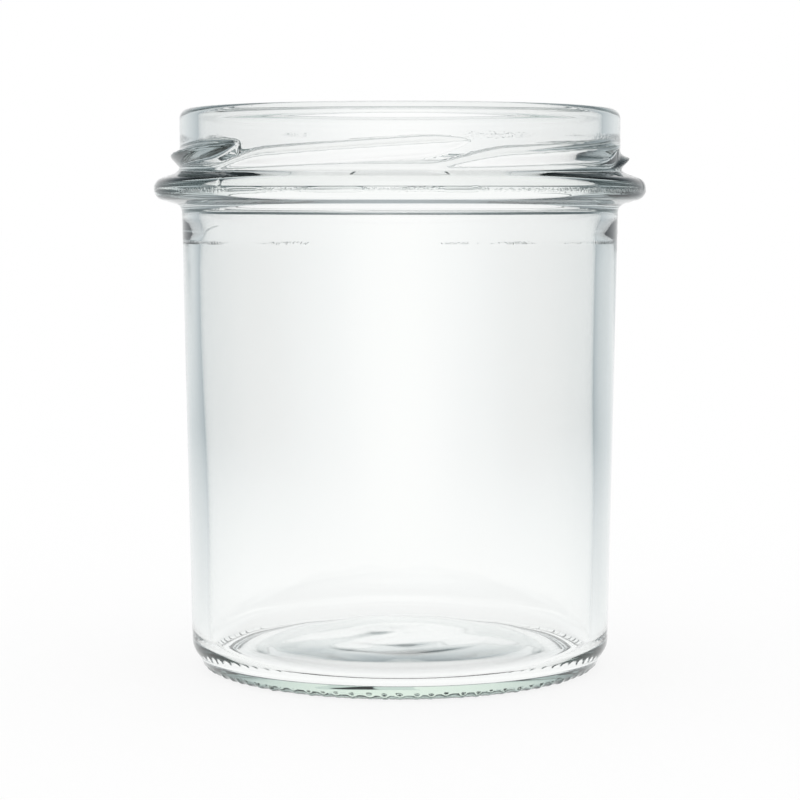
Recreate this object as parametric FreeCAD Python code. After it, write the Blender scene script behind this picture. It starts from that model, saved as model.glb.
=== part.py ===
"""Straight-sided preserving jar of clear glass, made as one solid.

The jar stands on the plane z = 0 with its axis on Z. A six-start lug finish is at
the top, a transfer bead below it, then a slightly tapered body, a narrow heel, and a base
that is pushed up inside a bearing ring. A row of short bars, the knurl, goes round
the curve that leads from the bearing ring to the heel.
All sizes are in millimetres and all angles in degrees, counted from the front (-Y)
towards +X.
"""
import FreeCAD, Part
import math
import os

from FreeCAD import Vector

# Overall
HEIGHT = 97.8                # base plane to the top of the lip

# Finish: the plain neck wall that carries the threads
FINISH_HEIGHT = 13.9         # lip top down to the middle of the bead
FINISH_RADIUS = 38.5         # outside of the neck wall; bead and body follow it
FINISH_WALL = 3.2            # neck wall between its outside and the bore
LIP_OUTER_ROUND = 1.7
LIP_INNER_ROUND = 1.1

# Transfer bead
BEAD_REACH = 4.5             # how far the bead stands out from the neck wall
BEAD_EDGE = 3.0              # height of the bead's rim between its two flanks
BEAD_TOP_FLANK = 1.6         # height of the flank above the rim
BEAD_FOOT_FLANK = 1.3        # height of the flank below it
BEAD_ROUND = 1.6
BEAD_ROOT_ROUND = 1.6

# Body
SHOULDER_INSET = 0.3         # body just under the bead, in from the neck wall
FOOT_TAPER = 1.35            # body just above the heel, in from the shoulder
WALL_TOP = 3.6               # body wall at the shoulder
WALL_FOOT = 3.0              # body wall at the foot
BORE_DEPTH = 20.3            # lip top down to the end of the smooth bore
BORE_STEP = 1.6              # height over which the bore meets the body wall

# Heel and base
HEEL_HEIGHT = 3.9            # corner where the heel leaves the body
HEEL_IN = 2.3                # how far the heel runs in from the body
HEEL_ROUND = 2.2
RING_ROUND = 2.8             # curve between the heel and the bearing ring
RING_WIDTH = 3.9             # corner to corner, before rounding
RECESS = 0.95                # underside above the bearing ring
RECESS_RUN = 1.8             # width of the slope from the ring up to the recess
RECESS_ROUND = 0.8
FLOOR = 3.0                  # thickness of the base at the edge of the push-up
FLOOR_FALL = 1.15            # fall of the floor from the push-up out to the wall
PUSH_UP_INSET = 12.35        # edge of the push-up, in from the outside of the body
PUSH_UP_HEIGHT = 1.5
PUSH_UP_RUN = 5.2            # width of the push-up's flank
PUSH_UP_CROWN = 0.3          # extra rise from the flank to the axis
PUSH_UP_EDGE = 0.8           # rounding where the push-up starts
CORNER_ROUND = 1.5           # inside corner between wall and floor
BORE_ROUND = 1.6             # rounding at both ends of the step below the bore

# Threads
STARTS = 6
THREAD_SWEEP = 74.0          # angle that each thread covers
THREAD_FIRST = -57.0         # lower end of the first thread
THREAD_DEPTH = 1.7          # crest above the neck wall
THREAD_LOW = 11.3            # lip top down to the lower edge where a thread starts
THREAD_RISE = 2.7            # rise of the lower edge, start to end
THREAD_TALL = 3.5            # height of a full thread at the wall
THREAD_CREST = 0.7           # height of the flat on its crest
THREAD_LEAD_IN = 24.0        # angle over which a thread grows at its lower end
THREAD_RUN_OUT = 10.0        # angle over which it fades at its upper end
THREAD_STATIONS = 15
THREAD_ROOT = 0.9            # how far a thread's root reaches into the wall
THREAD_SINK = 0.3            # how far its crest lies under the wall at both ends

# Knurl on the curve between the bearing ring and the heel
KNURL_BARS = 84
KNURL_BODY = 1.3             # radius of a bar, most of which is sunk in the wall
KNURL_STRAIGHT = 0.24        # length of a bar between its round ends
KNURL_PROUD = 0.22           # how far a bar stands out of the curve
KNURL_TURN = 34.0            # place of the bars, up the curve from its lowest point


def rounded_outline(corners):
    """Edges through (r, z, rounding) corners, each inner corner cut by a tangent arc."""
    points = [Vector(r, 0, z) for r, z, _ in corners]
    edges = []
    last = points[0]
    for before, corner, after, (_, _, radius) in zip(points, points[1:], points[2:], corners[1:]):
        into = (corner - before).normalize()
        out = (after - corner).normalize()
        turn = into.getAngle(out)
        reach = radius * math.tan(turn / 2)
        start = corner - into * reach
        end = corner + out * reach
        bisector = (out - into).normalize()
        centre = corner + bisector * (radius / math.cos(turn / 2))
        edges.append(Part.LineSegment(last, start).toShape())
        edges.append(Part.Arc(start, centre - bisector * radius, end).toShape())
        last = end
    edges.append(Part.LineSegment(last, points[-1]).toShape())
    return edges


def radii():
    """Radii that follow the neck wall."""
    shoulder = FINISH_RADIUS - SHOULDER_INSET
    foot = shoulder - FOOT_TAPER
    return {
        "bore": FINISH_RADIUS - FINISH_WALL,
        "bead": FINISH_RADIUS + BEAD_REACH,
        "shoulder": shoulder,
        "foot": foot,
        "ring": foot - HEEL_IN,
        "push_up": foot - PUSH_UP_INSET,
    }


def levels():
    """Heights that the outside and the inside of the jar share."""
    bead = HEIGHT - FINISH_HEIGHT
    return {
        "bead_top": bead + BEAD_EDGE / 2,
        "bead_bottom": bead - BEAD_EDGE / 2,
        "neck_foot": bead + BEAD_EDGE / 2 + BEAD_TOP_FLANK,
        "shoulder": bead - BEAD_EDGE / 2 - BEAD_FOOT_FLANK,
        "floor": RECESS + FLOOR,
    }


def push_up_round():
    """Radius that takes up most of the push-up's flank in one curve over to its crown."""
    slope = math.atan2(PUSH_UP_HEIGHT, PUSH_UP_RUN)
    return 0.85 * PUSH_UP_RUN / math.tan(slope / 2)


def inside_corners(across, at):
    """Inside of the jar, from the axis on the floor up to the lip."""
    crown = at["floor"] + PUSH_UP_HEIGHT
    bore_end = HEIGHT - BORE_DEPTH
    return [
        (0, crown + PUSH_UP_CROWN, 0),
        (across["push_up"] - PUSH_UP_RUN, crown, push_up_round()),
        (across["push_up"], at["floor"], PUSH_UP_EDGE),
        (across["foot"] - WALL_FOOT, at["floor"] - FLOOR_FALL, CORNER_ROUND),
        (across["shoulder"] - WALL_TOP, bore_end - BORE_STEP, BORE_ROUND),
        (across["bore"], bore_end, BORE_ROUND),
        (across["bore"], HEIGHT, min(LIP_INNER_ROUND, 0.4 * FINISH_WALL)),
    ]


def outside_corners(across, at):
    """Outside of the jar, from the lip down to the bearing ring and in to the axis."""
    ring_inner = across["ring"] - RING_WIDTH
    push_up_top = RECESS + PUSH_UP_HEIGHT
    return [
        (FINISH_RADIUS, HEIGHT, min(LIP_OUTER_ROUND, 0.55 * FINISH_WALL)),
        (FINISH_RADIUS, at["neck_foot"], BEAD_ROOT_ROUND),
        (across["bead"], at["bead_top"], BEAD_ROUND),
        (across["bead"], at["bead_bottom"], BEAD_ROUND),
        (across["shoulder"], at["shoulder"], BEAD_ROOT_ROUND),
        (across["foot"], HEEL_HEIGHT, HEEL_ROUND),
        (across["ring"], 0, RING_ROUND),
        (ring_inner, 0, RECESS_ROUND),
        (ring_inner - RECESS_RUN, RECESS, RECESS_ROUND),
        (across["push_up"], RECESS, PUSH_UP_EDGE),
        (across["push_up"] - PUSH_UP_RUN, push_up_top, push_up_round()),
        (0, push_up_top + PUSH_UP_CROWN, 0),
    ]


def blown_body():
    """The jar without threads or knurl: its wall outline turned about the axis."""
    corners = inside_corners(radii(), levels()) + outside_corners(radii(), levels())
    edges = rounded_outline(corners)
    first = Vector(0, 0, corners[0][1])
    last = Vector(0, 0, corners[-1][1])
    edges.append(Part.LineSegment(last, first).toShape())
    section = Part.Face(Part.Wire(edges))
    return section.revolve(Vector(0, 0, 0), Vector(0, 0, 1), 360)


def smooth_step(share):
    """0 below 0, 1 above 1, and an even S-curve between."""
    share = min(max(share, 0.0), 1.0)
    return share * share * (3 - 2 * share)


def thread_section(turned):
    """Closed section of a thread at the angle that it has turned from its lower end."""
    growth = smooth_step(turned / THREAD_LEAD_IN)
    fade = smooth_step((THREAD_SWEEP - turned) / THREAD_RUN_OUT)
    low = HEIGHT - THREAD_LOW + THREAD_RISE * turned / THREAD_SWEEP
    top = low + THREAD_CREST + (THREAD_TALL - THREAD_CREST) * growth
    low = top - THREAD_CREST - (top - low - THREAD_CREST) * fade
    middle = (low + top) / 2
    crest = FINISH_RADIUS - THREAD_SINK + (THREAD_DEPTH + THREAD_SINK) * min(growth, fade)
    root = FINISH_RADIUS - THREAD_ROOT
    angle = math.radians(turned)
    outline = [
        (root, low),
        (crest, middle - THREAD_CREST / 2),
        (crest, middle + THREAD_CREST / 2),
        (root, top),
    ]
    points = [Vector(r * math.sin(angle), -r * math.cos(angle), z) for r, z in outline]
    return Part.makePolygon(points + points[:1])


def thread():
    """One right-hand thread, its lower end at the front, to be turned into place."""
    step = THREAD_SWEEP / (THREAD_STATIONS - 1)
    sections = [thread_section(step * i) for i in range(THREAD_STATIONS)]
    return Part.makeLoft(sections, True, False)


def knurl_bar():
    """One rounded bar at the front, lying along the curve from the ring to the heel."""
    lean = math.atan2(HEEL_IN, HEEL_HEIGHT)
    centre = radii()["ring"] - RING_ROUND * math.tan((math.pi / 2 - lean) / 2)
    out = RING_ROUND + KNURL_PROUD - KNURL_BODY
    turn = math.radians(KNURL_TURN)
    half = KNURL_STRAIGHT / 2
    bar = Part.makeCylinder(KNURL_BODY, 2 * half, Vector(0, 0, -half), Vector(0, 0, 1))
    for end in (-half, half):
        bar = bar.fuse(Part.makeSphere(KNURL_BODY, Vector(0, 0, end)))
    bar.rotate(Vector(0, 0, 0), Vector(1, 0, 0), 90 - KNURL_TURN)
    bar.translate(Vector(0, -centre - out * math.sin(turn), RING_ROUND - out * math.cos(turn)))
    return bar


def around(shape, count, first=0.0):
    """Copies of a shape spaced evenly about the axis."""
    copies = []
    for i in range(count):
        copy = shape.copy()
        copy.rotate(Vector(0, 0, 0), Vector(0, 0, 1), first + 360.0 * i / count)
        copies.append(copy)
    return copies


def jar():
    """The whole jar as one solid: the body with its threads and knurl fused on."""
    threads = around(thread(), STARTS, THREAD_FIRST)
    knurl = around(knurl_bar(), KNURL_BARS)
    return blown_body().fuse(threads + knurl)


os.makedirs("parts", exist_ok=True)
jar().exportStep("parts/jar.step")
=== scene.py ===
"""Clear glass preserving jar with a six-start lug finish, dressed for display.

The jar is one closed glass surface: a wall outline turned about the Z axis, with the
threads and the knurl raised on it. The marks of the mould are in the glass material.
Lengths are written in millimetres and become metres when a mesh or a material is made,
angles in degrees from the front (-Y) towards +X. Sizes of the studio and the place of
the camera are in metres.
"""
import math

import bpy
import numpy as np
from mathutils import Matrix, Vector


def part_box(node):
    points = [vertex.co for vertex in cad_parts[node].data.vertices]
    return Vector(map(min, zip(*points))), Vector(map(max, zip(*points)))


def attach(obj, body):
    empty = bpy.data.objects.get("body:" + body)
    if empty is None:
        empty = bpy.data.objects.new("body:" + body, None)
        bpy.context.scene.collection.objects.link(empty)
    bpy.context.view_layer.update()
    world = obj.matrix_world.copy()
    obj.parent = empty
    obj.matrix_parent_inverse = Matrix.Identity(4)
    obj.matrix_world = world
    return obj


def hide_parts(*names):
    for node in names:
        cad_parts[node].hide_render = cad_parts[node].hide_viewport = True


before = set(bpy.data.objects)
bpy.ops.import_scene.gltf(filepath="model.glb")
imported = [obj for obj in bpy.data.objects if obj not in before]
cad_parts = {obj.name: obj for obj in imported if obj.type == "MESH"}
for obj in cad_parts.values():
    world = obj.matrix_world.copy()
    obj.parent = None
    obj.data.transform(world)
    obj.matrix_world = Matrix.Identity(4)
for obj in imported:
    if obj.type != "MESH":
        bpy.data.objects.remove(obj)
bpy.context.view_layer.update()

MM = 0.001

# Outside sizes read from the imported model
JAR_LOW, JAR_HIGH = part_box("jar")
HEIGHT = JAR_HIGH[2] / MM
BEAD_RADIUS = round(JAR_HIGH[0] / MM, 1)

# Finish: the neck wall with its bore and lip
BEAD_REACH = 4.5
FINISH_RADIUS = BEAD_RADIUS - BEAD_REACH
FINISH_HEIGHT = 13.9         # lip top down to the middle of the bead
FINISH_WALL = 3.2
LIP_OUTER_ROUND = 1.7
LIP_INNER_ROUND = 0.7
BORE_DEPTH = 20.3            # lip top down to the end of the smooth bore
BORE_STEP = 1.6              # height over which the bore meets the body wall
BORE_ROUND = 1.6             # rounding at both ends of that step

# Transfer bead
BEAD_EDGE = 3.0
BEAD_TOP_FLANK = 1.6
BEAD_FOOT_FLANK = 1.3
BEAD_ROUND = 1.9
BEAD_ROOT_ROUND = 1.6

# Body
SHOULDER_INSET = 0.3         # body just under the bead, in from the neck wall
SHOULDER_RADIUS = FINISH_RADIUS - SHOULDER_INSET
FOOT_TAPER = 1.35            # body just above the heel, in from the shoulder
FOOT_RADIUS = SHOULDER_RADIUS - FOOT_TAPER
WALL_TOP = 3.6               # body wall at the shoulder
WALL_FOOT = 3.0              # body wall at the foot

# Heel and base
HEEL_HEIGHT = 3.9            # corner where the heel leaves the body
HEEL_IN = 2.3                # how far the heel runs in from the body
HEEL_ROUND = 2.2
RING_ROUND = 2.8             # curve between the heel and the bearing ring
RING_WIDTH = 3.9             # corner to corner, before rounding
RECESS = 0.95                # underside above the bearing ring
RECESS_RUN = 1.8             # width of the slope from the ring up to the recess
RECESS_ROUND = 0.8
FLOOR = 3.0                  # thickness of the base at the edge of the push-up
FLOOR_FALL = 1.15            # fall of the floor from the push-up out to the wall
PUSH_UP_INSET = 12.35        # edge of the push-up, in from the outside of the body
PUSH_UP_RADIUS = FOOT_RADIUS - PUSH_UP_INSET
PUSH_UP_HEIGHT = 1.5
PUSH_UP_RUN = 5.2            # width of the push-up's flank
PUSH_UP_CROWN = 0.3          # extra rise from the flank to the axis
PUSH_UP_EDGE = 0.8           # rounding where the push-up starts
PUSH_UP_ARC = 0.85           # share of the push-up's flank that one wide arc takes up
CORNER_ROUND = 1.5           # inside corner between wall and floor

# Threads
STARTS = 6
THREAD_SWEEP = 74.0          # angle that each thread covers
THREAD_FIRST = -57.0         # lower end of the first thread
THREAD_DEPTH = 1.7           # crest above the neck wall
THREAD_LOW = 11.3            # lip top down to the lower edge where a thread starts
THREAD_RISE = 2.7            # rise of the lower edge, start to end
THREAD_SWELL = 0.6           # how much taller the lower flank is at the end
THREAD_FOOT_FLANK = 1.4      # height of the lower flank
THREAD_CREST = 0.4           # height of the crest
THREAD_TOP_FLANK = 1.8       # height of the upper flank
THREAD_TOP_START = 0.3       # share of it that a thread has at its lower end
THREAD_TOP_POWER = 4         # how fast the upper flank falls from the crest
THREAD_LEAD_IN = 24.0        # angle over which a thread grows at its lower end
THREAD_RUN_OUT = 13.0        # angle over which it closes at its upper end
THREAD_OVERLAP = 0.2         # how far the lower flank runs on over the crest
THREAD_CORNER = 0.2          # rounding of the crest's corners, as a share of the depth
THREAD_HEADROOM = 1.2        # share at which a flank is cut off, with the crest at 1
THREAD_THINNEST = 0.01       # keeps a closed upper flank from being divided by 0

# Knurl on the curve between the bearing ring and the heel
KNURL_BARS = 84
KNURL_WIDTH = 1.45           # round the jar
KNURL_LENGTH = 2.1           # up the curve
KNURL_PROUD = 0.22           # how far a bar stands out of the curve
KNURL_TURN = 34.0            # place of the bars, up the curve from its lowest point
KNURL_WEAR = 0.5             # share of its height that the most worn bar has lost
KNURL_CREEP = 3.0            # how much further up the curve the most worn bar sits
KNURL_DRIFT = 0.08           # how far a bar is off its place, as a share of the pitch
KNURL_TOP = 3.0              # the bars and their curve end under this height
KNURL_DEEP = 5.0             # and within this distance of the foot's outside

# Unevenness of the glass
WALL_WAVE = 0.12
BASE_HIGH = 8.0              # all of the base is below this height
WALL_WAVE_RISE = 8.0         # height above the base over which the waves fade in
WALL_WAVE_FADE = 5.0         # height under the bore over which they fade out
BASE_WAVE = 0.16
BASE_WAVE_FADE = 4.0         # distance over which they fade at the axis and the edge
UNDERSIDE_WAVE = 0.6         # share of them on the underside

# Marks of the mould: middle and half height of each band of grain
BEAD_MARK = HEIGHT - FINISH_HEIGHT - 0.3
BEAD_MARK_HALF = 0.5
BEAD_MARK_DEEP = 1.0         # only this close to the bead's rim
BORE_MARK = HEIGHT - BORE_DEPTH - BORE_STEP - 1.0
BORE_MARK_HALF = 0.35
BORE_MARK_DEEP = 2.0         # only this far inside the outer face
NECK_MARK = HEIGHT - 5.3
NECK_MARK_HALF = 0.8
NECK_MARK_DEEP = 0.3         # only this close to the outer face, or outside it
NECK_MARK_SHARE = 0.5        # strength beside the other two
MARK_DEPTH = 0.2
GRAINS_PER_METRE = 2600.0
PATCHES_PER_METRE = 70.0
PATCH_START = 0.42           # noise value at which a patch begins
PATCH_FULL = 0.6             # noise value at which it has its full grain

# Glass
GLASS_IOR = 1.52
GLASS_TINT = "#BFE6C8"
GLASS_TINT_DENSITY = 7.5     # per metre of glass

# Studio
WHITE = "#FFFFFF"
COOL = "#DAF3FF"             # surround and floor where they are dim
ROOM_SIDE = 0.17             # light from the sides, in reflections
ROOM_FADE = 0.8              # what each further reflection keeps
ROOM_DARKENS = (0.2, 0.55)   # sines of the elevation from full light to the ceiling's
SKY_DARKENS = (0.75, 0.95)   # the same for light seen straight or through the glass
CEILING = 0.1
FLOOR_GLOW = 0.85            # share of the floor's light that is its own
FLOOR_HALF = 6.0
FLOOR_FADES = (0.05, 0.45)   # distances from full white to the room's light

# Camera
LENS = 107.15
SENSOR = 36.0
EYE_BACK = 0.420
EYE_HIGH = 0.0813
EYE_DOWN = 4.7               # tilt under level
NEAREST_SEEN = 0.01

# Mesh
COLUMNS_PER_BAR = 7
COLUMNS = KNURL_BARS * COLUMNS_PER_BAR
ROWS = 168


def rounded_path(corners, step=0.02):
    """Points every `step` along straight runs between (r, z, rounding) corners, each
    corner replaced by the arc of its rounding that is tangent to both runs."""
    pieces = []
    points = np.array([(r, z) for r, z, _ in corners], float)
    last = points[0]
    for i in range(1, len(points) - 1):
        into = points[i] - points[i - 1]
        into /= np.linalg.norm(into)
        out = points[i + 1] - points[i]
        out /= np.linalg.norm(out)
        side = into[0] * out[1] - into[1] * out[0]
        turn = math.atan2(side, into @ out)
        radius = corners[i][2]
        reach = radius * math.tan(abs(turn) / 2)
        start = points[i] - into * reach
        pieces.append(straight(last, start, step))
        inward = np.array([-into[1], into[0]]) * math.copysign(1.0, turn)
        centre = start + inward * radius
        count = max(int(radius * abs(turn) / step), 2)
        angle = np.linspace(0, turn, count, endpoint=False)
        spoke = -inward
        pieces.append(centre + radius * np.stack([
            spoke[0] * np.cos(angle) - spoke[1] * np.sin(angle),
            spoke[0] * np.sin(angle) + spoke[1] * np.cos(angle)], axis=1))
        last = points[i] + out * reach
    pieces.append(straight(last, points[-1], step))
    pieces.append(points[-1:])
    return np.concatenate(pieces)


def straight(start, end, step):
    """Even points from start up to, but not including, end."""
    count = max(int(np.linalg.norm(end - start) / step), 1)
    share = np.linspace(0, 1, count, endpoint=False)[:, None]
    return start + (end - start) * share


def wall_outline():
    """Section of the jar: up the inside from the axis, over the lip, down the outside
    and back along the underside to the axis. One wide arc takes up most of the push-up's
    flank."""
    slope = math.atan2(PUSH_UP_HEIGHT, PUSH_UP_RUN)
    push_up_round = PUSH_UP_ARC * PUSH_UP_RUN / math.tan(slope / 2)
    floor = RECESS + FLOOR
    crown = floor + PUSH_UP_HEIGHT
    bore = FINISH_RADIUS - FINISH_WALL
    bore_end = HEIGHT - BORE_DEPTH
    bead = HEIGHT - FINISH_HEIGHT
    ring = FOOT_RADIUS - HEEL_IN
    return rounded_path([
        (0, crown + PUSH_UP_CROWN, 0),
        (PUSH_UP_RADIUS - PUSH_UP_RUN, crown, push_up_round),
        (PUSH_UP_RADIUS, floor, PUSH_UP_EDGE),
        (FOOT_RADIUS - WALL_FOOT, floor - FLOOR_FALL, CORNER_ROUND),
        (SHOULDER_RADIUS - WALL_TOP, bore_end - BORE_STEP, BORE_ROUND),
        (bore, bore_end, BORE_ROUND),
        (bore, HEIGHT, LIP_INNER_ROUND),
        (FINISH_RADIUS, HEIGHT, LIP_OUTER_ROUND),
        (FINISH_RADIUS, bead + BEAD_EDGE / 2 + BEAD_TOP_FLANK, BEAD_ROOT_ROUND),
        (BEAD_RADIUS, bead + BEAD_EDGE / 2, BEAD_ROUND),
        (BEAD_RADIUS, bead - BEAD_EDGE / 2, BEAD_ROUND),
        (SHOULDER_RADIUS, bead - BEAD_EDGE / 2 - BEAD_FOOT_FLANK, BEAD_ROOT_ROUND),
        (FOOT_RADIUS, HEEL_HEIGHT, HEEL_ROUND),
        (ring, 0, RING_ROUND),
        (ring - RING_WIDTH, 0, RECESS_ROUND),
        (ring - RING_WIDTH - RECESS_RUN, RECESS, RECESS_ROUND),
        (PUSH_UP_RADIUS, RECESS, PUSH_UP_EDGE),
        (PUSH_UP_RADIUS - PUSH_UP_RUN, RECESS + PUSH_UP_HEIGHT, push_up_round),
        (0, RECESS + PUSH_UP_HEIGHT + PUSH_UP_CROWN, 0),
    ])


def row_spacing(r, z, outside):
    """Wanted distance between rows: fine on threads, bead, lip and knurl, wide on plain
    walls. A later zone counts where two overlap."""
    spacing = np.full(len(r), 1.6)
    zones = (
        ((z > 12) & (z < 72), 5.0),                       # plain body
        (r < PUSH_UP_RADIUS - 5, 3.5),                    # middle of the base
        (outside & (z > 80) & (z < 95), 0.24),            # bead and neck
        (outside & (z > 87.5) & (z < 93), 0.17),          # threads
        (z > 95.5, 0.3),                                  # lip
        (outside & (z > KNURL_TOP) & (z < 6), 0.6),       # heel
        (outside & (z < KNURL_TOP) & (r > 30), 0.16),     # knurl and its curve
    )
    for zone, distance in zones:
        spacing[zone] = distance
    return spacing


def rows_along(path):
    """The path resampled to ROWS points, closer together where row_spacing asks for it,
    with the outward normal at each."""
    step = np.diff(path, axis=0)
    length = np.linalg.norm(step, axis=1)
    along = np.concatenate([[0], np.cumsum(length)])
    middle = (path[1:] + path[:-1]) / 2
    lip = np.argmax(path[:, 1])
    outside = np.arange(len(middle)) >= lip
    density = length / row_spacing(middle[:, 0], middle[:, 1], outside)
    count = np.concatenate([[0], np.cumsum(density)])
    place = np.interp(np.linspace(0, count[-1], ROWS), count, along)
    r = np.interp(place, along, path[:, 0])
    z = np.interp(place, along, path[:, 1])
    tangent = np.stack([np.gradient(path[:, 0], along), np.gradient(path[:, 1], along)])
    tr = np.interp(place, along, tangent[0])
    tz = np.interp(place, along, tangent[1])
    size = np.hypot(tr, tz)
    return {"r": r, "z": z, "nr": -tz / size, "nz": tr / size, "outside": place > along[lip]}


def smooth_step(share):
    """0 below 0, 1 above 1, and an even S-curve between."""
    share = np.clip(share, 0, 1)
    return share * share * (3 - 2 * share)


def soft_least(a, b, width):
    """The lesser of two values, with the corner between them rounded over `width`."""
    blend = np.clip(0.5 + 0.5 * (b - a) / width, 0, 1)
    return b + (a - b) * blend - width * blend * (1 - blend)


def thread_relief(angle, z):
    """Height of the threads over the neck wall. A thread climbs with the angle and has a
    straight lower flank, a narrow crest and an upper flank that is steep at the crest and
    fades into the wall: a power of the share left to its upper edge. It swells out of the
    wall over its lead-in and closes to a point over its run-out. Both flanks are cut off
    above the crest and not at it, so that its corners can be rounded."""
    relief = np.zeros(np.broadcast(angle, z).shape)
    for start in range(STARTS):
        turned = (angle - THREAD_FIRST - 360 * start / STARTS) % 360
        on = turned < THREAD_SWEEP
        growth = smooth_step(turned / THREAD_LEAD_IN)
        left = np.clip((THREAD_SWEEP - turned) / THREAD_RUN_OUT, 0, 1)
        fade = left * (2 - left)
        low = HEIGHT - THREAD_LOW + THREAD_RISE * turned / THREAD_SWEEP
        crest = low + (THREAD_FOOT_FLANK + THREAD_SWELL * turned / THREAD_SWEEP) * growth
        ledge = crest + THREAD_CREST
        top = ledge + THREAD_TOP_FLANK * (THREAD_TOP_START + (1 - THREAD_TOP_START) * growth)
        low = ledge - (ledge - low) * fade
        top = ledge + (top - ledge) * fade
        below = np.clip((z - low) / (crest - low + THREAD_OVERLAP), 0, THREAD_HEADROOM)
        above = np.clip((top - z) / (top - ledge + THREAD_THINNEST), 0, THREAD_HEADROOM)
        above = above ** THREAD_TOP_POWER
        ridge = soft_least(soft_least(below, above, THREAD_CORNER), 1.0, THREAD_CORNER)
        ridge = np.clip(ridge, 0, 1)
        height = THREAD_DEPTH * np.minimum(growth, fade) * ridge
        relief = np.maximum(relief, np.where(on, height, 0))
    return relief


def knurl_relief(angle, r, z):
    """Height of the bars on the curve between bearing ring and heel: rounded ovals side by
    side, highest in the middle and falling with the square of the distance. The mould is
    worn, so the bars differ a little in height and place."""
    pitch = 360 / KNURL_BARS
    bar = np.floor(angle / pitch + 0.5)
    worn = 0.5 + 0.5 * np.sin(bar * 2.4 + 1.3 * np.sin(bar * 0.7))
    across = (angle - bar * pitch) - pitch * KNURL_DRIFT * np.sin(bar * 1.7)
    across = np.radians(across) * FOOT_RADIUS / (KNURL_WIDTH / 2)
    lean = math.atan2(HEEL_IN, HEEL_HEIGHT)
    centre = FOOT_RADIUS - HEEL_IN - RING_ROUND * math.tan((math.pi / 2 - lean) / 2)
    along = np.arctan2(r - centre, RING_ROUND - z) - np.radians(KNURL_TURN + KNURL_CREEP * worn)
    along = along * RING_ROUND / (KNURL_LENGTH / 2)
    return KNURL_PROUD * (1 - KNURL_WEAR * worn) * np.clip(1 - across ** 2 - along ** 2, 0, 1)


def wall_unevenness(angle, z):
    """Change of the inner wall's radius where the blown glass is a little thicker or
    thinner: broad waves round the wall that drift with height."""
    turn = np.radians(angle)
    drift = 0.9 * np.sin(z / 17.0)
    waves = (0.5 * np.sin(3 * turn + 0.7 + drift) + 0.3 * np.sin(8 * turn + 2 * drift)
             + 0.2 * np.sin(19 * turn - 1.1 - drift))
    return WALL_WAVE * waves


def base_unevenness(x, y):
    """Rise and fall of the pressed base: a few crossing waves."""
    bend = 1.2 * np.sin(x / 11.0 + 0.4) + 0.8 * np.sin(y / 7.0 - 1.0)
    return BASE_WAVE * (0.6 * np.sin(x / 4.6 + bend) * np.sin(y / 5.8 + 0.8 * bend)
                        + 0.4 * np.sin(x / 8.3 - y / 9.1 + bend))


def jar_surface():
    """The whole jar: the wall outline's rows turned through all columns, each point moved
    along its outward normal by the reliefs that lie there, closed at both axis points."""
    rows = rows_along(wall_outline())
    angle = (np.arange(COLUMNS) * 360.0 / COLUMNS)[None, :]
    r, z = rows["r"][1:-1, None], rows["z"][1:-1, None]
    nr, nz = rows["nr"][1:-1, None], rows["nz"][1:-1, None]
    outside = rows["outside"][1:-1, None]
    turn = np.radians(angle)
    neck = outside & (z > HEIGHT - FINISH_HEIGHT) & (z < HEIGHT - LIP_OUTER_ROUND)
    curve = outside & (z < KNURL_TOP) & (r > FOOT_RADIUS - KNURL_DEEP)
    body = ~outside & (z > BASE_HIGH) & (z < HEIGHT - BORE_DEPTH)
    base = (z < BASE_HIGH) & (r < PUSH_UP_RADIUS)
    radial = np.where(neck, thread_relief(angle, z), 0)
    radial = radial + np.where(body, wall_unevenness(angle, z)
                               * smooth_step((z - BASE_HIGH) / WALL_WAVE_RISE)
                               * smooth_step((HEIGHT - BORE_DEPTH - z) / WALL_WAVE_FADE), 0)
    move = np.where(curve, knurl_relief(angle, r, z), 0)
    rise = np.where(base, base_unevenness(r * np.sin(turn), r * np.cos(turn))
                    * smooth_step((PUSH_UP_RADIUS - r) / BASE_WAVE_FADE)
                    * smooth_step(r / BASE_WAVE_FADE), 0)
    rr = r + move * nr + radial
    zz = z + move * nz + np.where(outside, UNDERSIDE_WAVE, 1.0) * rise
    ring = np.stack([rr * np.sin(turn), -rr * np.cos(turn), zz], axis=-1)
    points = np.concatenate([
        [[0, 0, rows["z"][0]]],
        ring.reshape(-1, 3),
        [[0, 0, rows["z"][-1]]],
    ]) * MM
    return points, ring_faces(len(ring))


def ring_faces(count):
    """Quads between neighbouring rings of COLUMNS points, and a fan of triangles at each end."""
    here = np.arange(COLUMNS)
    right = (here + 1) % COLUMNS
    base = 1 + COLUMNS * np.arange(count - 1)[:, None]
    above = base + COLUMNS
    quads = np.stack([base + here, above + here, above + right, base + right], axis=-1)
    last = 1 + COLUMNS * (count - 1)
    end = last + COLUMNS
    fan = np.stack([np.zeros(COLUMNS, int), 1 + here, 1 + right], axis=-1)
    close = np.stack([last + right, last + here, np.full(COLUMNS, end)], axis=-1)
    return quads.reshape(-1, 4), fan, close


def make_mesh(name, points, face_groups):
    """A smooth-shaded mesh object from points and groups of equal-sided faces."""
    mesh = bpy.data.meshes.new(name)
    sides = np.concatenate([np.full(len(group), group.shape[1]) for group in face_groups])
    corners = np.concatenate([group.ravel() for group in face_groups])
    mesh.vertices.add(len(points))
    mesh.vertices.foreach_set("co", points.astype(np.float32).ravel())
    mesh.loops.add(len(corners))
    mesh.loops.foreach_set("vertex_index", corners.astype(np.int32))
    mesh.polygons.add(len(sides))
    starts = np.concatenate([[0], np.cumsum(sides)[:-1]])
    mesh.polygons.foreach_set("loop_start", starts.astype(np.int32))
    mesh.polygons.foreach_set("loop_total", sides.astype(np.int32))
    mesh.polygons.foreach_set("use_smooth", np.ones(len(sides), bool))
    mesh.update(calc_edges=True)
    mesh.validate()
    piece = bpy.data.objects.new(name, mesh)
    bpy.context.scene.collection.objects.link(piece)
    return piece


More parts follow.
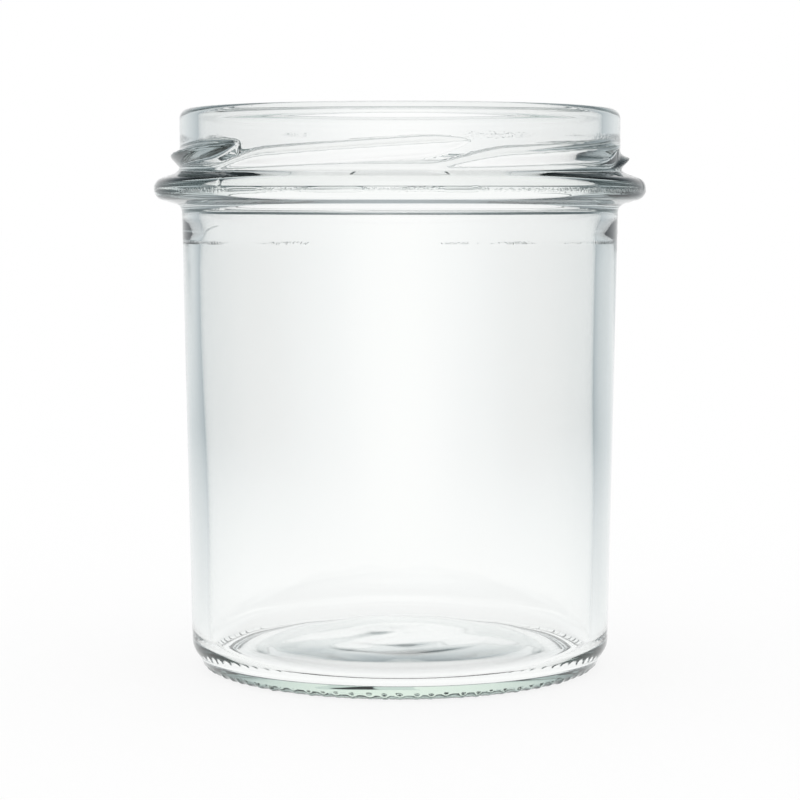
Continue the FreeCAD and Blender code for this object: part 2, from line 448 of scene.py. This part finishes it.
def linear(colour):
    """Linear RGBA from an sRGB hex string."""
    parts = np.array([int(colour[i:i + 2], 16) for i in (1, 3, 5)]) / 255
    low = parts / 12.92
    high = ((parts + 0.055) / 1.055) ** 2.4
    return (*np.where(parts <= 0.04045, low, high).tolist(), 1.0)


def add(tree, kind, links=None, values=None, **settings):
    """One node: its settings by name, its input values and its links from other sockets."""
    node = tree.nodes.new(kind)
    for name, value in settings.items():
        setattr(node, name, value)
    for socket, value in (values or {}).items():
        node.inputs[socket].default_value = value
    for socket, source in (links or {}).items():
        tree.links.new(source, node.inputs[socket])
    return node


def empty_tree(holder):
    """The node tree of a material or world, cleared."""
    holder.use_nodes = True
    holder.node_tree.nodes.clear()
    return holder.node_tree


def flint_glass():
    """Soda-lime flint glass, press-and-blow moulded and fire-polished: colourless where it
    is thin, faintly green along the rim and the base, with a surface as smooth as water
    but for fine rough marks where the parts of the mould met."""
    material = bpy.data.materials.new("flint_glass")
    tree = empty_tree(material)
    shader = add(tree, "ShaderNodeBsdfPrincipled", values={
        "Base Color": linear(WHITE), "Roughness": 0.0, "IOR": GLASS_IOR, "Transmission Weight": 1.0})
    tree.links.new(mould_marks(tree), shader.inputs["Normal"])
    tint = add(tree, "ShaderNodeVolumeAbsorption", values={
        "Color": linear(GLASS_TINT), "Density": GLASS_TINT_DENSITY})
    add(tree, "ShaderNodeOutputMaterial", links={
        "Surface": shader.outputs["BSDF"], "Volume": tint.outputs["Volume"]})
    return material


def mould_marks(tree):
    """Fine grain about 0.4 mm across in narrow bands: round the middle of the bead, at the
    lower end of the bore and over the threads. Patches about 14 mm long leave parts of
    each band smooth."""
    place = add(tree, "ShaderNodeTexCoord").outputs["Object"]
    way = add(tree, "ShaderNodeSeparateXYZ", links={0: place}).outputs
    flat = add(tree, "ShaderNodeCombineXYZ", links={"X": way["X"], "Y": way["Y"]}).outputs[0]
    radius = add(tree, "ShaderNodeVectorMath", operation="LENGTH", links={0: flat}).outputs["Value"]
    bead = calculate(tree, "MULTIPLY", band(tree, way["Z"], BEAD_MARK, BEAD_MARK_HALF),
                     calculate(tree, "GREATER_THAN", radius, (BEAD_RADIUS - BEAD_MARK_DEEP) * MM))
    bore = calculate(tree, "MULTIPLY", band(tree, way["Z"], BORE_MARK, BORE_MARK_HALF),
                     calculate(tree, "LESS_THAN", radius, (FINISH_RADIUS - BORE_MARK_DEEP) * MM))
    neck = calculate(tree, "MULTIPLY", band(tree, way["Z"], NECK_MARK, NECK_MARK_HALF),
                     calculate(tree, "GREATER_THAN", radius, (FINISH_RADIUS - NECK_MARK_DEEP) * MM))
    marks = calculate(tree, "ADD", calculate(tree, "ADD", bead, bore),
                      calculate(tree, "MULTIPLY", neck, NECK_MARK_SHARE))
    patches = add(tree, "ShaderNodeTexNoise", links={"Vector": flat},
                  values={"Scale": PATCHES_PER_METRE, "Detail": 1.0})
    worn = add(tree, "ShaderNodeMapRange", links={"Value": patches.outputs["Fac"]}, values={
        "From Min": PATCH_START, "From Max": PATCH_FULL, "To Min": 0.0, "To Max": 1.0})
    grain = add(tree, "ShaderNodeTexNoise", links={"Vector": place},
                values={"Scale": GRAINS_PER_METRE, "Detail": 1.0})
    height = calculate(tree, "MULTIPLY", calculate(tree, "MULTIPLY", marks, worn.outputs[0]),
                       grain.outputs["Fac"])
    bump = add(tree, "ShaderNodeBump", links={"Height": height},
               values={"Strength": 1.0, "Distance": MARK_DEPTH * MM})
    return bump.outputs["Normal"]


def band(tree, height, level, half):
    """1 at a height given in millimetres, falling to 0 at `half` above and below it."""
    away = calculate(tree, "SUBTRACT", height, level * MM)
    away = add(tree, "ShaderNodeMath", operation="ABSOLUTE", links={0: away}).outputs[0]
    node = add(tree, "ShaderNodeMapRange", links={"Value": away},
               values={"From Min": 0.0, "From Max": half * MM, "To Min": 1.0, "To Max": 0.0})
    return node.outputs[0]


def feed(tree, socket, value):
    """Give an input its value, which is a number or another socket."""
    if isinstance(value, (int, float)):
        socket.default_value = value
    else:
        tree.links.new(value, socket)


def blend(tree, factor, low, high):
    """Value between low and high, each a number or a socket, at a share given by a socket."""
    node = add(tree, "ShaderNodeMix", data_type="FLOAT", links={"Factor": factor})
    feed(tree, node.inputs["A"], low)
    feed(tree, node.inputs["B"], high)
    return node.outputs[0]


def calculate(tree, operation, first, second):
    """A Math node on two inputs, each a number or a socket."""
    node = add(tree, "ShaderNodeMath", operation=operation)
    feed(tree, node.inputs[0], first)
    feed(tree, node.inputs[1], second)
    return node.outputs[0]


def room_light(tree, along, across):
    """Brightness of the room that reflections show: bright in front and behind, dim at
    both sides, by the square of the cosine of the bearing."""
    ahead = calculate(tree, "MULTIPLY", along, along)
    aside = calculate(tree, "MULTIPLY", across, across)
    share = calculate(tree, "DIVIDE", ahead, calculate(tree, "ADD", ahead, aside))
    return blend(tree, share, ROOM_SIDE, 1.0)


def as_seen(tree, direct, room):
    """The direct value as long as the light comes straight or through the glass, and the
    room's once the glass has reflected it, a little dimmer after every further reflection."""
    depth = add(tree, "ShaderNodeLightPath").outputs["Glossy Depth"]
    seen = blend(tree, calculate(tree, "MINIMUM", depth, 1.0), direct, room)
    more = calculate(tree, "MAXIMUM", calculate(tree, "SUBTRACT", depth, 1.0), 0.0)
    return calculate(tree, "MULTIPLY", seen, calculate(tree, "POWER", ROOM_FADE, more))


def steep(tree, height, darkens):
    """1 up to the first sine of the elevation in `darkens`, the ceiling's light from the second."""
    start, end = darkens
    node = add(tree, "ShaderNodeMapRange", interpolation_type="SMOOTHSTEP", links={"Value": height},
               values={"From Min": start, "From Max": end, "To Min": 1.0, "To Max": CEILING})
    return node.outputs[0]


def white_to_cool(tree, strength):
    """Colour of the surround: white where it is bright, cool grey where it is dim."""
    tint = add(tree, "ShaderNodeMix", data_type="RGBA", links={"Factor": strength})
    tint.inputs[6].default_value = linear(COOL)
    tint.inputs[7].default_value = linear(WHITE)
    return tint.outputs[2]


def studio_world():
    """White surround with a dark ceiling, whose reflections come from a room with dim sides."""
    world = bpy.data.worlds.new("studio")
    bpy.context.scene.world = world
    tree = empty_tree(world)
    place = add(tree, "ShaderNodeTexCoord")
    way = add(tree, "ShaderNodeSeparateXYZ", links={0: place.outputs["Generated"]})
    height = way.outputs["Z"]
    room = calculate(tree, "MULTIPLY", room_light(tree, way.outputs["Y"], way.outputs["X"]),
                     steep(tree, height, ROOM_DARKENS))
    seen = as_seen(tree, steep(tree, height, SKY_DARKENS), room)
    lighting = add(tree, "ShaderNodeLightPath").outputs["Is Diffuse Ray"]
    strength = blend(tree, lighting, seen, 1.0)
    back = add(tree, "ShaderNodeBackground", links={
        "Strength": strength, "Color": white_to_cool(tree, strength)})
    add(tree, "ShaderNodeOutputWorld", links={"Surface": back.outputs[0]})


def studio_floor():
    """Wide white sweep that the jar stands on, part matt so that it takes the shadow and
    part glowing so that it stays as white as the surround. Its reflections are white
    near the jar and fall off to the room's."""
    size = FLOOR_HALF
    corner = np.array([[-size, -size, 0], [size, -size, 0], [size, size, 0], [-size, size, 0]])
    floor = make_mesh("studio_floor", corner, [np.array([[0, 1, 2, 3]])])
    material = bpy.data.materials.new("white_sweep")
    tree = empty_tree(material)
    path = add(tree, "ShaderNodeLightPath")
    place = add(tree, "ShaderNodeTexCoord")
    way = add(tree, "ShaderNodeSeparateXYZ", links={0: place.outputs["Object"]})
    far = add(tree, "ShaderNodeVectorMath", operation="LENGTH", links={0: place.outputs["Object"]})
    near = add(tree, "ShaderNodeMapRange", links={"Value": far.outputs["Value"]}, values={
        "From Min": FLOOR_FADES[0], "From Max": FLOOR_FADES[1], "To Min": 1.0, "To Max": 0.0})
    room = blend(tree, near.outputs[0], room_light(tree, way.outputs["Y"], way.outputs["X"]), 1.0)
    strength = as_seen(tree, 1.0, room)
    matt = add(tree, "ShaderNodeBsdfDiffuse", values={"Color": linear(WHITE)})
    glow = add(tree, "ShaderNodeEmission", links={
        "Strength": strength, "Color": white_to_cool(tree, strength)})
    clear = calculate(tree, "MAXIMUM", path.outputs["Is Glossy Ray"],
                      path.outputs["Is Transmission Ray"])
    seen = calculate(tree, "MULTIPLY", path.outputs["Is Camera Ray"], FLOOR_GLOW)
    mixed = add(tree, "ShaderNodeMixShader", links={
        0: calculate(tree, "MAXIMUM", clear, seen), 1: matt.outputs[0], 2: glow.outputs[0]})
    add(tree, "ShaderNodeOutputMaterial", links={"Surface": mixed.outputs[0]})
    floor.data.materials.append(material)


def camera():
    """Close product camera a little above half the jar's height, looking slightly down."""
    data = bpy.data.cameras.new("camera")
    data.sensor_width = SENSOR
    data.lens = LENS
    data.clip_start = NEAREST_SEEN
    eye = bpy.data.objects.new("camera", data)
    eye.location = (0, -EYE_BACK, EYE_HIGH)
    eye.rotation_euler = (math.radians(90 - EYE_DOWN), 0, 0)
    bpy.context.scene.collection.objects.link(eye)
    bpy.context.scene.camera = eye


camera()
points, faces = jar_surface()
jar = make_mesh("glass_jar", points, faces)
jar.data.materials.append(flint_glass())
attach(jar, "root")
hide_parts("jar")
studio_world()
studio_floor()

scene = bpy.context.scene
scene.view_settings.view_transform = "Standard"
scene.cycles.max_bounces = 24
scene.cycles.transmission_bounces = 24
scene.cycles.glossy_bounces = 12
